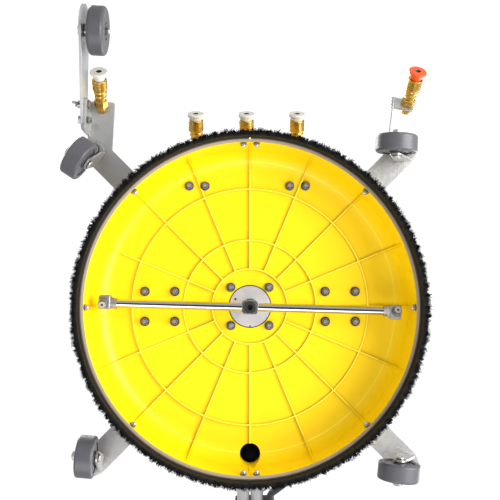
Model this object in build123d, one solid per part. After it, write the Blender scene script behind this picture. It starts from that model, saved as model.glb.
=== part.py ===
from build123d import *
import os
from math import atan, cos, radians, sin, sqrt, tan

os.makedirs("parts", exist_ok=True)

# Driving dimensions, in millimetres and degrees. The floor is z = 0 and the front is -Y.
# Deck
RIM_R = 237.0
RIM_Z = 22.0
DECK_T = 4.0
DECK_IN_Z = 98.0
DECK_TOP_Z = DECK_IN_Z + DECK_T
WALL_LEAN = tan(radians(4.8))
SHOULDER_R = 30.0
HUB_HOLE_R = 32.3
RIB_H = 4.0
RIB_T = 2.2
RING_RIBS = [56.5, 99.5, 177.0]
RADIAL_RIBS = 16
PAD_T = 2.5
PORT_Y = 219.6
PORT_BORE_R = 15.3
SPIGOT_R = 18.0
PORT_BOSS_R = 21.5
PORT_BOSS_TOP = 119.0

# Brush skirt
BRISTLE_TIP_Z = 1.5
HOLDER_T = 6.0
HOLDER_TOP_Z = 46.0
BRISTLE_TIP_R = 254.0
BAND_T = 1.5
SKIRT_SCREW_Z = 28.5
SKIRT_SCREW_R = 2.5
HOOP_END_ANGLE = 2.3
SKIRT_ANGLES = [-90 - HOOP_END_ANGLE, -135, 180, 135, 90 + HOOP_END_ANGLE]

# Bolts through the deck
M6_R = 3.0
M6_CLEAR_R = 3.3
HUB_BOLT_PCD = 81.2
BRACKET_X = 135.5
BRACKET_SPACING = 45.0
MANIFOLD_X = -5.5
MANIFOLD_Y = -222.0
NOZZLE_SPACING = 76.2
FOOT_XS = (-80.0, 72.0)
FOOT_Y = -182.0
FOOT_BOLT_SPACING = 24.0

# Caster frame and casters
FRAME_T = 5.0
FRAME_TOP_Z = DECK_TOP_Z + FRAME_T
ARM_W = 39.0
SWIVEL_XY = 234.0
CASTER_R = 30.0
CASTER_W = 25.0
TRAIL = 23.0
KING_R = 5.0
CROWN_Z = 74.3
CROWN_T = 4.0
LEG_T = 3.0
LEG_GAP = 1.5
AXLE_R = 4.0
FIT = 0.06
# name, side of X, side of Y, heading of the wheel from the swivel axis, side of the leg
CASTERS = [
    ("front_left", -1, -1, 123.0, -1),
    ("front_right", 1, -1, 182.6, -1),
    ("rear_left", -1, 1, -85.0, 1),
    ("rear_right", 1, 1, 186.0, 1),
]

# Swivel and spray bar
SWIVEL_FACE_R = 30.8
SWIVEL_FACE_Z = 96.5
SWIVEL_TOP_Z = 152.0
BEARING_R = 21.0
BEARING_W = 12.0
SHAFT_R = 10.0
BAR_Z = 54.0
BAR_TURN = 1.6
BAR_REACH = 211.0
BAR_TUBE_R = 6.15
ELBOW_W = 17.0
ELBOW_L = 21.0
JET_TILT = 20.0

# Quick couplers, lengths measured along the coupler from its base
HEX_AF = 18.0
HEX_L = 11.0
SLEEVE_START = 15.5
SLEEVE_END = 46.0
SLEEVE_R = 11.2
BARREL_R = 7.6
CAP_R = 13.3
CAP_END = 59.5
ORIFICE_R = 4.4
PORT_L = 20.5
NOZZLE_INSET = 3.5
# name: base x, y, z, dip below level, turn towards +X, distance of the coupler's base along its axis
COUPLERS = {
    "left": (MANIFOLD_X - NOZZLE_SPACING, MANIFOLD_Y, 118.0, 28.0, 0.0, PORT_L),
    "middle": (MANIFOLD_X, MANIFOLD_Y, 118.0, 28.0, 0.0, PORT_L),
    "right": (MANIFOLD_X + NOZZLE_SPACING, MANIFOLD_Y, 118.0, 28.0, 0.0, PORT_L),
    "corner_left": (-226.9, -304.6, 100.0, 43.0, 4.1, 0.0),
    "corner_right": (239.9, -306.8, 100.0, 45.0, 11.7, 0.0),
}

# Guide wheel on the front left corner
GUIDE_PLATE_Z = FRAME_TOP_Z
GUIDE_PLATE_T = 3.0
FLANGE_X = -246.6
GUIDE_PIVOT = (-279.0, 82.0)
GUIDE_SLOT_R = 23.5
GUIDE_ARM_T = 4.0
GUIDE_AXLE = (-402.0, 36.0)
GUIDE_WHEEL_R = 35.7
GUIDE_WHEEL_X = (-241.8, -217.8)
GUIDE_END = (-411.0, 40.0)
GUIDE_END_R = 30.0
GUIDE_LIFT = 30.0
GUIDE_TURN = 3.0

# Handle, drawn flat in its own plane and tipped up by HANDLE_TILT about the pivot
HANDLE_TILT = 47.0
PIVOT_Z = 131.0
EAR_GAP = 27.0
EAR_T = 5.0
TUBE_R = 12.5
TUBE_WALL = 2.0
TWIN_X = 13.6
CROSSBAR_D = 1030.0
CROSSBAR_HALF = 288.0
GRIP_R = 16.5
GUN_X = 118.0
HOSE_R = 7.0
HOSE_X = 38.0
HOSE_LEAVES_D = 615.0
INLET_R = 11.0
INLET_N = 38.0

# The free hose, from the swivel tee to where the handle takes it up
TEE_Z = 192.0
FERRULE_END_Y = 58.0


def wall_r(z, outside=0.0):
    """Radius of the deck wall's inner face at height z, plus a thickness."""
    return RIM_R - (z - RIM_Z) * WALL_LEAN + outside


def bell(top_z, rim_z, fillet_r, outside=0.0, rim_r=None):
    """Solid of revolution under a flat top, a round shoulder and a leaning wall."""
    low_r = rim_r if rim_r is not None else wall_r(rim_z, outside)
    corner = (wall_r(top_z, outside), 0, top_z)
    line = Polyline((0, 0, rim_z), (low_r, 0, rim_z), corner, (0, 0, top_z), close=True)
    face = make_face(line)
    picked = face.vertices().filter_by(lambda v: (v.center() - Vector(corner)).length < 0.01)
    return revolve(fillet(picked, fillet_r), Axis.Z)


def spun(points):
    """Ring of revolution about Z through (radius, height) points."""
    return revolve(make_face(Polyline([(r, 0, z) for r, z in points], close=True)), Axis.Z)


def tube(outer_r, inner_r, z0, z1):
    return Pos(0, 0, z0) * (
        Cylinder(outer_r, z1 - z0, align=(Align.CENTER, Align.CENTER, Align.MIN))
        - Cylinder(inner_r, z1 - z0, align=(Align.CENTER, Align.CENTER, Align.MIN))
    )


def rod(radius, z0, z1):
    return Pos(0, 0, z0) * Cylinder(radius, z1 - z0, align=(Align.CENTER, Align.CENTER, Align.MIN))


def rod_between(start, end, radius):
    axis = Vector(*end) - Vector(*start)
    return Plane(origin=start, z_dir=axis).location * rod(radius, 0, axis.length)


def block(x0, x1, y0, y1, z0, z1):
    size = (x1 - x0, y1 - y0, z1 - z0)
    return Pos(x0, y0, z0) * Box(*size, align=(Align.MIN, Align.MIN, Align.MIN))


def hexagon(across_flats, z0, z1):
    return extrude(Pos(0, 0, z0) * RegularPolygon(across_flats / sqrt(3), 6), z1 - z0)


def two_circle_plate(c1, r1, c2, r2, thickness):
    """Flat plate around two circles, centred on its own plane."""
    circles = [Pos(*c1) * Circle(r1), Pos(*c2) * Circle(r2)]
    outline = make_hull([e for c in circles for e in c.edges()])
    return extrude(outline, thickness / 2, both=True)


def wedge(angle0, angle1, reach, z0, z1):
    a0 = radians(angle0)
    a1 = radians(angle1)
    tip = [(0, 0), (reach * cos(a0), reach * sin(a0)), (reach * cos(a1), reach * sin(a1))]
    return extrude(Pos(0, 0, z0) * make_face(Polyline(tip, close=True)), z1 - z0)


def fused(pieces):
    whole = pieces[0]
    for piece in pieces[1:]:
        whole = whole + piece
    return whole


def cut(body, tools):
    for tool in tools:
        body = body - tool
    return body


# ---- positions of the fasteners ----

hub_bolt_xy = [(HUB_BOLT_PCD / 2 * cos(radians(a)), HUB_BOLT_PCD / 2 * sin(radians(a))) for a in (45, 135, 225, 315)]
half = BRACKET_SPACING / 2
bracket_bolt_xy = [(s * BRACKET_X + dx, dy) for s in (-1, 1) for dx in (-half, half) for dy in (-half, half)]
foot_bolt_xy = [(x + s * FOOT_BOLT_SPACING / 2, FOOT_Y) for x in FOOT_XS for s in (-1, 1)]
skirt_angles = SKIRT_ANGLES + [180 - a for a in SKIRT_ANGLES]
swivel_points = [(sx * SWIVEL_XY, sy * SWIVEL_XY) for _, sx, sy, _, _ in CASTERS]


def square_to_wall(angle):
    """Location on the wall's inner face at the screws' height, with its Z pointing straight out of the wall."""
    out = Vector(1, 0, WALL_LEAN)
    origin = (wall_r(SKIRT_SCREW_Z), 0, SKIRT_SCREW_Z)
    return Rot(0, 0, angle) * Plane(origin=origin, x_dir=(0, 1, 0), z_dir=out).location


def skirt_drills():
    return [square_to_wall(a) * rod(SKIRT_SCREW_R + 0.1, -12, 20) for a in skirt_angles]


# ---- deck ----

def deck_shell():
    cavity = bell(DECK_IN_Z, RIM_Z - 1, SHOULDER_R)
    outer = bell(DECK_TOP_Z, RIM_Z, SHOULDER_R + DECK_T, outside=DECK_T)
    boss = Pos(0, PORT_Y, 0) * rod(PORT_BOSS_R, 70, PORT_BOSS_TOP)
    shell = outer + boss - cavity
    rib_floor = bell(DECK_IN_Z - RIB_H, RIM_Z + 10, SHOULDER_R - 2, outside=-RIB_H, rim_r=wall_r(RIM_Z + 10) - 0.4)
    rib_zone = bell(DECK_IN_Z + 1, RIM_Z + 10, SHOULDER_R, outside=1.0) - rib_floor
    ribs = []
    for n in range(RADIAL_RIBS):
        bar = block(RING_RIBS[0], RIM_R, -RIB_T / 2, RIB_T / 2, RIM_Z + 12, DECK_IN_Z + 0.5)
        ribs.append(Rot(0, 0, n * 360 / RADIAL_RIBS) * bar)
    shell = shell + [rib & rib_zone for rib in ribs]
    for r in RING_RIBS:
        shell = shell + tube(r + RIB_T / 2, r - RIB_T / 2, DECK_IN_Z - RIB_H, DECK_IN_Z + 0.5)
    pad_ring = tube(RING_RIBS[2], RING_RIBS[1], DECK_IN_Z - PAD_T, DECK_IN_Z + 0.5)
    for middle in (0, 180):
        shell = shell + (pad_ring & wedge(middle - 22.5, middle + 22.5, 230, DECK_IN_Z - 10, DECK_TOP_Z))
    holes = [rod(HUB_HOLE_R, 80, 120)]
    holes.append(Pos(0, PORT_Y, 0) * rod(PORT_BORE_R, 60, 130))
    holes.append(Pos(0, PORT_Y, 0) * rod(SPIGOT_R + 0.1, 106, 130))
    holes += [Pos(x, y, 0) * rod(M6_CLEAR_R, 80, 120) for x, y in hub_bolt_xy + bracket_bolt_xy + foot_bolt_xy]
    holes += [Pos(x, y, 0) * rod(7.3, DECK_IN_Z - RIB_H - 1, DECK_IN_Z) for x, y in foot_bolt_xy]
    return cut(shell, holes + skirt_drills())


# ---- brush skirt ----

def half_hoops(points):
    """A ring of revolution split at the front and rear into two half hoops."""
    split = block(-1.2, 1.2, -300, 300, 0, 60)
    return cut(spun(points) - split, skirt_drills())


def leaning_ring(inner, outer, z0, z1):
    return half_hoops(
        [(wall_r(z0, inner), z0), (wall_r(z0, outer), z0), (wall_r(z1, outer), z1), (wall_r(z1, inner), z1)]
    )


holder_in = DECK_T + 0.1
holder_out = holder_in + HOLDER_T


def skirt_bristles():
    low_in = wall_r(RIM_Z, holder_in)
    low_out = wall_r(RIM_Z, holder_out)
    ring = spun([(low_in, BRISTLE_TIP_Z), (BRISTLE_TIP_R, BRISTLE_TIP_Z), (low_out, RIM_Z - 0.1), (low_in, RIM_Z - 0.1)])
    return ring - block(-1.2, 1.2, -300, 300, 0, 60)


def skirt_fasteners():
    through = holder_out + BAND_T
    head = fillet(rod(4.6, 0.02, 3.0).edges().group_by(Axis.Z)[-1], 1.6)
    screw = head + rod(SKIRT_SCREW_R, -through - 3, 0.1)
    dome = Pos(0, 0, 3.6) * Sphere(3.6) & rod(5, 3.5, 8)
    nut = mirror(hexagon(8.0, 0, 3.6) + dome - rod(SKIRT_SCREW_R, -1, 3.2), Plane.XY)
    screws = [square_to_wall(a) * Pos(0, 0, through * cos(atan(WALL_LEAN))) * screw for a in skirt_angles]
    nuts = [square_to_wall(a) * Pos(0, 0, -0.1) * nut for a in skirt_angles]
    return screws + nuts


# ---- swivel ----

def swivel_housing():
    body = rod(SWIVEL_FACE_R, SWIVEL_FACE_Z, FRAME_TOP_Z) + rod(52, FRAME_TOP_Z, FRAME_TOP_Z + 8)
    body = body + rod(28, FRAME_TOP_Z + 8, SWIVEL_TOP_Z)
    tools = [rod(BEARING_R, SWIVEL_FACE_Z + 4, SWIVEL_TOP_Z + 1), rod(SHAFT_R + 1.5, 90, 110)]
    tools += [Pos(x, y, 0) * rod(M6_CLEAR_R, 100, 120) for x, y in hub_bolt_xy]
    tools.append(Pos(-22, -11, 0) * rod(1.7, 90, SWIVEL_FACE_Z + 3))
    tools.append(block(-1.2, 1.2, SWIVEL_FACE_R - 2.2, 40, SWIVEL_FACE_Z - 1, SWIVEL_FACE_Z + 2))
    return cut(body, tools)


def swivel_cap():
    cap = rod(28, SWIVEL_TOP_Z, SWIVEL_TOP_Z + 20)
    cap = chamfer(cap.faces().sort_by(Axis.Z)[-1].edges(), 3)
    cavity = rod(12.2, SWIVEL_TOP_Z - 1, SWIVEL_TOP_Z + 8)
    return cap - cavity - rod(4, SWIVEL_TOP_Z, SWIVEL_TOP_Z + 30)


def swivel_bearings():
    lower = SWIVEL_FACE_Z + 5.5
    upper = SWIVEL_TOP_Z - 4 - BEARING_W
    rings = []
    for z in (lower, upper):
        ring = tube(BEARING_R, SHAFT_R + 0.05, z, z + BEARING_W)
        groove = tube(17, 14, z + BEARING_W - 0.8, z + BEARING_W + 1)
        rings.append(ring - groove - Pos(0, 0, -BEARING_W) * groove.moved(Location((0, 0, -0.2))))
    return rings


def inlet_tee():
    stem = rod(9, SWIVEL_TOP_Z + 20, TEE_Z) + hexagon(22, SWIVEL_TOP_Z + 20, SWIVEL_TOP_Z + 28)
    run = rod_between((0, -22, TEE_Z), (0, 24, TEE_Z), 10.5)
    nut = Plane(origin=(0, 24, TEE_Z), z_dir=(0, 1, 0)).location * hexagon(22, 0, 11)
    ferrule = rod_between((0, 35, TEE_Z), (0, FERRULE_END_Y, TEE_Z), 9.5)
    water = rod(4, SWIVEL_TOP_Z + 10, TEE_Z) + rod_between((0, -30, TEE_Z), (0, 52, TEE_Z), 4)
    return stem + run + nut + ferrule - water


# ---- fasteners through the deck ----

def bolt_stacks():
    """Bolts from above, then washers and nuts under the deck, in two lists."""
    bolts = []
    nuts = []
    stacks = [(xy, FRAME_TOP_Z + 8, DECK_IN_Z) for xy in hub_bolt_xy]
    stacks += [(xy, FRAME_TOP_Z, DECK_IN_Z - PAD_T) for xy in bracket_bolt_xy]
    stacks += [(xy, DECK_TOP_Z + 4, DECK_IN_Z) for xy in foot_bolt_xy]
    for (x, y), top, under in stacks:
        bolts.append(Pos(x, y, 0) * (rod(M6_R, under - 9, top) + hexagon(10, top, top + 4)))
        washer = rod(7.0, under - 1.6, under)
        nut = chamfer(hexagon(10, under - 5.8, under - 1.6).faces().sort_by(Axis.Z)[0].edges(), 0.6)
        collar = rod(4.3, under - 7.6, under - 5.8) - rod(3.7, under - 8, under - 6.4)
        nuts.append(Pos(x, y, 0) * (washer + nut + collar - rod(M6_R, under - 12, top)))
    for side in (-1, 1):
        width = EAR_GAP + 2 * EAR_T
        across = Plane(origin=(side * BRACKET_X - width / 2, 0, PIVOT_Z), z_dir=(1, 0, 0)).location
        bolts.append(across * (rod(5, 0, width + 8) + hexagon(17, -4, 0)))
        nuts.append(across * (hexagon(17, width, width + 6) - rod(5, 30, 50)))
    return bolts, nuts


# ---- caster frame and casters ----

def caster_frame():
    reach = SWIVEL_XY * sqrt(2)
    arms = [Rot(0, 0, a) * two_circle_plate((0, 0), ARM_W / 2, (reach, 0), ARM_W / 2, FRAME_T) for a in (45, 135, 225, 315)]
    plate = fused([Cylinder(57, FRAME_T)] + arms)
    plate = Pos(0, 0, DECK_TOP_Z + FRAME_T / 2) * plate
    holes = [rod(HUB_HOLE_R, 90, 120)]
    holes += [Pos(x, y, 0) * rod(M6_CLEAR_R, 90, 120) for x, y in hub_bolt_xy]
    holes += [Pos(x, y, 0) * rod(KING_R + 0.1, 90, 120) for x, y in swivel_points]
    return cut(plate, holes)


def kingpins():
    pins = []
    for (x, y), (_, _, side, _, _) in zip(swivel_points, CASTERS):
        seat = FRAME_TOP_Z + (GUIDE_PLATE_T if side < 0 else 0)
        pin = rod(KING_R, CROWN_Z - 0.3, seat + 13) + rod(8, CROWN_Z - 4.3, CROWN_Z - 0.3)
        nut = hexagon(16, seat, seat + 8)
        pins.append(Pos(x, y, 0) * (pin + nut))
    return pins


def spacers():
    low = CROWN_Z + CROWN_T + 0.3
    ring = tube(13.5, KING_R + 0.1, low, DECK_TOP_Z) + tube(15.5, KING_R + 0.1, low, low + 5)
    return [Pos(x, y, 0) * ring for x, y in swivel_points]


def caster_place(caster):
    """Location whose X runs from the swivel axis to the wheel and whose Y points at the leg."""
    _, sx, sy, heading, side = caster
    turn = Pos(sx * SWIVEL_XY, sy * SWIVEL_XY, 0) * Rot(0, 0, heading)
    return turn, side


def caster_fork(caster):
    place, side = caster_place(caster)
    leg_y = CASTER_W / 2 + LEG_GAP
    crown = extrude(make_hull((Circle(15.5).edges()) + (Pos(8, leg_y - 4) * Rectangle(22, 14)).edges()), CROWN_T)
    crown = Pos(0, 0, CROWN_Z) * (crown & block(-20, 30, -20, leg_y + LEG_T, -1, 10))
    outline = make_hull((Pos(7, 71) * Rectangle(24, 6)).edges() + (Pos(TRAIL, CASTER_R) * Circle(9)).edges())
    outline = outline + Pos(7, CROWN_Z + 1) * Rectangle(24, 6)
    leg = Plane(origin=(0, leg_y + LEG_T, 0), x_dir=(1, 0, 0), z_dir=(0, -1, 0)).location * extrude(outline, LEG_T)
    fork = crown + leg - rod(KING_R + FIT, 60, 90)
    fork = fork - rod_between((TRAIL, 0, CASTER_R), (TRAIL, 40, CASTER_R), AXLE_R + 0.1)
    return place * (fork if side > 0 else mirror(fork, Plane.XZ))


def caster_axle(caster):
    place, side = caster_place(caster)
    leg_y = CASTER_W / 2 + LEG_GAP + LEG_T
    out = Plane(origin=(TRAIL, leg_y, CASTER_R), z_dir=(0, 1, 0)).location
    shank = -(leg_y + CASTER_W / 2 + 8)
    bolt = out * (rod(AXLE_R, shank, 0) + fillet(rod(6.2, 0, 3.6).edges().group_by(Axis.Z)[-1], 2.0))
    nut = out * hexagon(13, shank + 1, shank + 7)
    axle = bolt + nut
    return place * (axle if side > 0 else mirror(axle, Plane.XZ))


def wheel_solid(radius, width, edge_r, recess_r, hub_r, bore_r):
    """Wheel centred on the origin with its axle along Z."""
    rounded = Cylinder(radius, width)
    rounded = fillet(rounded.edges().filter_by(GeomType.CIRCLE), edge_r)
    dish = tube(recess_r, hub_r, width / 2 - 1.5, width / 2 + 1)
    both = dish + mirror(dish, Plane.XY)
    return rounded - both - Cylinder(bore_r, width * 2)


def caster_wheel(caster):
    place, _ = caster_place(caster)
    axle = Plane(origin=(TRAIL, 0, CASTER_R), z_dir=(0, 1, 0)).location
    return place * (axle * wheel_solid(CASTER_R, CASTER_W, 3.2, 22, 10, AXLE_R + FIT))


# ---- spray bar ----

def rotor_parts():
    turn = Rot(0, 0, BAR_TURN)
    hub = chamfer(Box(23.4, 19.4, 26).edges().filter_by(Axis.Z), 3.0)
    hub = Pos(0, 0, BAR_Z) * hub - rod(8, BAR_Z + 6.5, BAR_Z + 20) - rod(3, BAR_Z - 4, BAR_Z + 20)
    hub = hub - rod_between((-6, 0, BAR_Z), (6, 0, BAR_Z), 4)
    hub = hub - rod_between((-20, 0, BAR_Z), (-5, 0, BAR_Z), BAR_TUBE_R)
    hub = hub - rod_between((5, 0, BAR_Z), (20, 0, BAR_Z), BAR_TUBE_R) - rod(7, BAR_Z - 14, BAR_Z - 8)
    shaft = rod(8, BAR_Z + 6.5, BAR_Z + 13) + rod(SHAFT_R, BAR_Z + 13, SWIVEL_TOP_Z - 2)
    shaft = shaft + rod(6, SWIVEL_TOP_Z - 2, SWIVEL_TOP_Z + 4) - rod(3, BAR_Z, SWIVEL_TOP_Z + 10)
    plug = rod(7, BAR_Z - 13, BAR_Z - 8) + rod(8.4, BAR_Z - 16, BAR_Z - 13) - hexagon(8, BAR_Z - 17, BAR_Z - 10)
    tubes = []
    elbows = []
    tips = []
    for side in (-1, 1):
        start = (side * 5.0, 0, BAR_Z)
        end = (side * (BAR_REACH - 12), 0, BAR_Z)
        tubes.append(turn * (rod_between(start, end, BAR_TUBE_R) - rod_between(start, end, 4.0)))
        lean = radians(JET_TILT)
        down = Vector(0, -side * sin(lean), -cos(lean))
        centre = Vector(side * BAR_REACH, side * 1.6, BAR_Z)
        neck = rod_between((side * (BAR_REACH - 17), 0, BAR_Z), (side * BAR_REACH, 0, BAR_Z), 8.0)
        block_body = fillet(Box(ELBOW_W, ELBOW_L, 17).edges().filter_by(Axis.Z), 3.5)
        block_body = fillet(block_body.faces().sort_by(Axis.Z)[0].edges(), 2.0)
        shoulder = loft([Pos(0, 0, 0) * Rectangle(14, 12), Pos(0, 0, 5) * Rectangle(14, 18)])
        shoulder = Plane(origin=(-ELBOW_W / 2 - 4, 0, 0), x_dir=(0, 0, 1), z_dir=(1, 0, 0)).location * shoulder
        if side < 0:
            shoulder = Rot(0, 0, 180) * shoulder
        body = Pos(*centre) * (block_body + shoulder) + neck
        nose = Plane(origin=tuple(centre + Vector(side * 2.0, side * 1.4, 0)), z_dir=down).location
        elbow = body + nose * rod(6.6, 0, 12.5) - nose * rod(4.5, -1, 20)
        elbow = elbow - rod_between((side * (BAR_REACH - 12), 0, BAR_Z), (side * (BAR_REACH - 20), 0, BAR_Z), BAR_TUBE_R)
        elbow = elbow - rod_between((side * (BAR_REACH - 14), 0, BAR_Z), (side * BAR_REACH, 0, BAR_Z), 4.0)
        elbows.append(turn * elbow)
        tip = nose * (rod(4.5, 2, 12.5) + rod(5.2, 12.5, 16.5) - rod(1.6, 10, 20) - rod(2.6, 0, 11))
        tips.append(turn * tip)
    return turn * shaft, turn * hub, turn * plug, tubes, elbows, tips


# ---- quick couplers ----

def coupler_plane(name):
    """Plane at the coupler's base with its Z along the spray direction."""
    x, y, z, dip, yaw, offset = COUPLERS[name]
    a = radians(dip)
    b = radians(yaw)
    along = Vector(cos(a) * sin(b), -cos(a) * cos(b), -sin(a))
    return Plane(origin=Vector(x, y, z) + along * offset, x_dir=(cos(b), sin(b), 0), z_dir=along)


def coupler_body():
    body = chamfer(hexagon(HEX_AF, 0, HEX_L).faces().sort_by(Axis.Z)[-1].edges(), 1.0)
    body = body + rod(BARREL_R, HEX_L, SLEEVE_END - 6)
    return body - rod(6.0, 24, SLEEVE_END) - rod(4.0, 3, 30)


def coupler_sleeve():
    bore = BARREL_R + FIT
    grip_start = SLEEVE_START + 14
    outline = [(bore, SLEEVE_START), (8.6, SLEEVE_START), (9.4, SLEEVE_START + 1), (9.4, SLEEVE_START + 4)]
    outline += [(8.9, SLEEVE_START + 5), (8.9, SLEEVE_START + 6), (10.2, SLEEVE_START + 9)]
    outline += [(10.2, SLEEVE_START + 11), (9.7, SLEEVE_START + 12), (9.7, grip_start - 1), (SLEEVE_R, grip_start)]
    outline += [(SLEEVE_R, SLEEVE_END - 0.8), (SLEEVE_R - 0.8, SLEEVE_END), (10.0, SLEEVE_END)]
    return spun(outline + [(10.0, SLEEVE_END - 5), (bore, SLEEVE_END - 5)])


def coupler_nozzle():
    neck = SLEEVE_END - 2
    cap = spun(
        [(0, neck), (7.4, neck), (8.4, neck + 3), (10.6, CAP_END - 4.4), (CAP_R - 0.6, CAP_END - 3.6)]
        + [(CAP_R, CAP_END - 3.0), (CAP_R, CAP_END - 1.0), (CAP_R - 0.8, CAP_END), (0, CAP_END)]
    )
    plug = rod(5.9, 28, neck)
    return cap + plug - rod(ORIFICE_R, CAP_END - 9, CAP_END + 1) - rod(1.6, 25, CAP_END) - rod(3.5, 25, 40)


def manifold():
    bar = block(FOOT_XS[0] - 24, FOOT_XS[1] + 24, MANIFOLD_Y - 9, MANIFOLD_Y + 9, 109, 127)
    body = chamfer(bar.edges().filter_by(Axis.X), 1.5)
    for x in FOOT_XS:
        foot = block(x - 22, x + 22, MANIFOLD_Y - 8, FOOT_Y + 14, DECK_TOP_Z, DECK_TOP_Z + 4)
        foot = foot + block(x - 22, x + 22, MANIFOLD_Y - 8, MANIFOLD_Y + 8, DECK_TOP_Z + 3, 110)
        body = body + foot
    for name in ("left", "middle", "right"):
        body = body + coupler_plane(name).location * rod(8.6, -PORT_L, 0)
    body = body + Pos(MANIFOLD_X + NOZZLE_SPACING / 2, MANIFOLD_Y, 0) * rod(7, 126, 132)
    water = rod_between((FOOT_XS[0] - 15, MANIFOLD_Y, 118), (FOOT_XS[1] + 15, MANIFOLD_Y, 118), 5)
    tools = [Pos(x, y, 0) * rod(M6_CLEAR_R, 90, 112) for x, y in foot_bolt_xy]
    tools.append(Pos(MANIFOLD_X + NOZZLE_SPACING / 2, MANIFOLD_Y, 0) * rod(3, 118, 140))
    tools += [coupler_plane(name).location * rod(4, -PORT_L + 3, 1) for name in ("left", "middle", "right")]
    return cut(body, tools + [water])


def feed_pipe():
    drop_x = MANIFOLD_X + NOZZLE_SPACING / 2
    corners = [(0, -72, TEE_Z), (0, -120, TEE_Z), (drop_x, MANIFOLD_Y, TEE_Z), (drop_x, MANIFOLD_Y, 132)]
    path = FilletPolyline(*corners, radius=18)
    return sweep((path ^ 0) * Circle(4), path=path)


# ---- front corner brackets ----

def turned(shape):
    """Turns a piece of the guide assembly about its kingpin, so its front end points a little inwards."""
    x, y = swivel_points[0]
    return Pos(x, y, 0) * Rot(0, 0, GUIDE_TURN) * Pos(-x, -y, 0) * shape


def corner_elbow_centre():
    """Centre of the elbow behind the left corner coupler."""
    plane = coupler_plane("corner_left")
    return plane.origin - plane.z_dir * 5


def guide_bracket():
    plate = block(FLANGE_X - 3, -210.7, -313, -214, GUIDE_PLATE_Z, GUIDE_PLATE_Z + GUIDE_PLATE_T)
    corner = plate.edges().filter_by(Axis.Z).filter_by(lambda e: e.center().X > -215)
    plate = fillet(corner, 5)
    flange = block(FLANGE_X - 3, FLANGE_X, -311, -259, 67, GUIDE_PLATE_Z + 1)
    flange = fillet([e for e in flange.edges().filter_by(Axis.X) if e.center().Z < 70], 6)
    tools = [Pos(*swivel_points[0], 0) * rod(KING_R + 0.1, 100, 120)]
    for py in (GUIDE_PIVOT[0], GUIDE_PIVOT[0] - GUIDE_SLOT_R):
        tools.append(rod_between((FLANGE_X - 5, py, GUIDE_PIVOT[1]), (FLANGE_X + 2, py, GUIDE_PIVOT[1]), 3.1))
    elbow = corner_elbow_centre()
    return turned(cut(plate + flange, tools)) - Pos(elbow.X, elbow.Y, 0) * rod(6.6, 100, 120)


def strap_bracket():
    sx, sy = swivel_points[1]
    foot = Pos(sx, sy, GUIDE_PLATE_Z + 1.5) * Cylinder(17, 3) + block(208, sx, sy - 20, sy - 2, GUIDE_PLATE_Z, GUIDE_PLATE_Z + 3)
    along = Vector(0.124, -0.992, 0)
    face_dir = Vector(-0.98, -0.123, 0.154)
    middle = Vector(214.4, -283.0, 98)
    strap = Plane(origin=middle, x_dir=along, z_dir=face_dir).location * Box(63, 23, 2)
    tab_plane = coupler_plane("corner_right")
    tab = tab_plane.location * (Pos(-8, 0, -1.5) * fillet(Box(34, 28, 3).edges().filter_by(Axis.Z), 3))
    body = foot + strap + tab
    hole = tab_plane.location * rod(6.6, -10, 5)
    return body - hole - Pos(sx, sy, 0) * rod(KING_R + 0.1, 100, 120)


def corner_adapters():
    base = coupler_plane("corner_left").origin
    elbow = corner_elbow_centre()
    shank = Pos(elbow.X, elbow.Y, 0) * rod(6.5, elbow.Z, GUIDE_PLATE_Z + 12)
    nut = Pos(elbow.X, elbow.Y, 0) * hexagon(17, GUIDE_PLATE_Z + GUIDE_PLATE_T, GUIDE_PLATE_Z + 9)
    left = Pos(*elbow) * Sphere(6.5) + rod_between(tuple(elbow), tuple(base), 6.5) + shank + nut
    right = coupler_plane("corner_right").location * (rod(6.5, -14, 0) + hexagon(17, -9, -3))
    return [left, right]


def guide_arm():
    """Arm in the YZ plane outside the flange, with an arc slot for the clamp bolt."""
    py, pz = GUIDE_PIVOT
    outline = make_hull((Pos(py, pz) * Circle(16)).edges() + (Pos(*GUIDE_END) * Circle(GUIDE_END_R)).edges())
    plane = Plane(origin=(FLANGE_X - 3.2 - GUIDE_ARM_T, 0, 0), x_dir=(0, 1, 0), z_dir=(1, 0, 0))
    arm = plane.location * extrude(outline, GUIDE_ARM_T)
    tools = [plane.location * (Pos(py, pz) * rod(M6_R + FIT, -5, 10))]
    for step in range(13):
        a = radians(180 - 2 + step * (GUIDE_LIFT + 4) / 12)
        centre = Pos(py + GUIDE_SLOT_R * cos(a), pz + GUIDE_SLOT_R * sin(a))
        tools.append(plane.location * (centre * rod(M6_R + 0.3, -5, 10)))
    tools.append(plane.location * (Pos(*GUIDE_AXLE) * rod(AXLE_R + 0.1, -5, 10)))
    return turned(cut(arm, tools))


def guide_fasteners():
    py, pz = GUIDE_PIVOT
    out_x = FLANGE_X - 3.2 - GUIDE_ARM_T - 0.2
    pivot = Plane(origin=(out_x, py, pz), z_dir=(-1, 0, 0)).location
    clamp = Plane(origin=(out_x, py - GUIDE_SLOT_R, pz), z_dir=(-1, 0, 0)).location
    inner = out_x - FLANGE_X
    bolt = pivot * (rod(M6_R, inner - 7, 0) + hexagon(11, 0, 6.0) + hexagon(10, inner - 5.5, inner))
    stud = clamp * (rod(M6_R, inner - 3, 12) + rod(6.5, inner - 3, inner))
    hub = rod(6, 0, 8) - rod(M6_R, -1, 20)
    wing = Pos(0, 0, 8.5) * two_circle_plate((4, -1.2), 2.2, (12.5, 3.6), 3.4, 2.4).rotate(Axis.X, 90)
    wings = wing + wing.rotate(Axis.Z, 180) - rod(M6_R, -1, 20)
    return [turned(piece) for piece in (bolt, stud, clamp * (hub + wings))]


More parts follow.
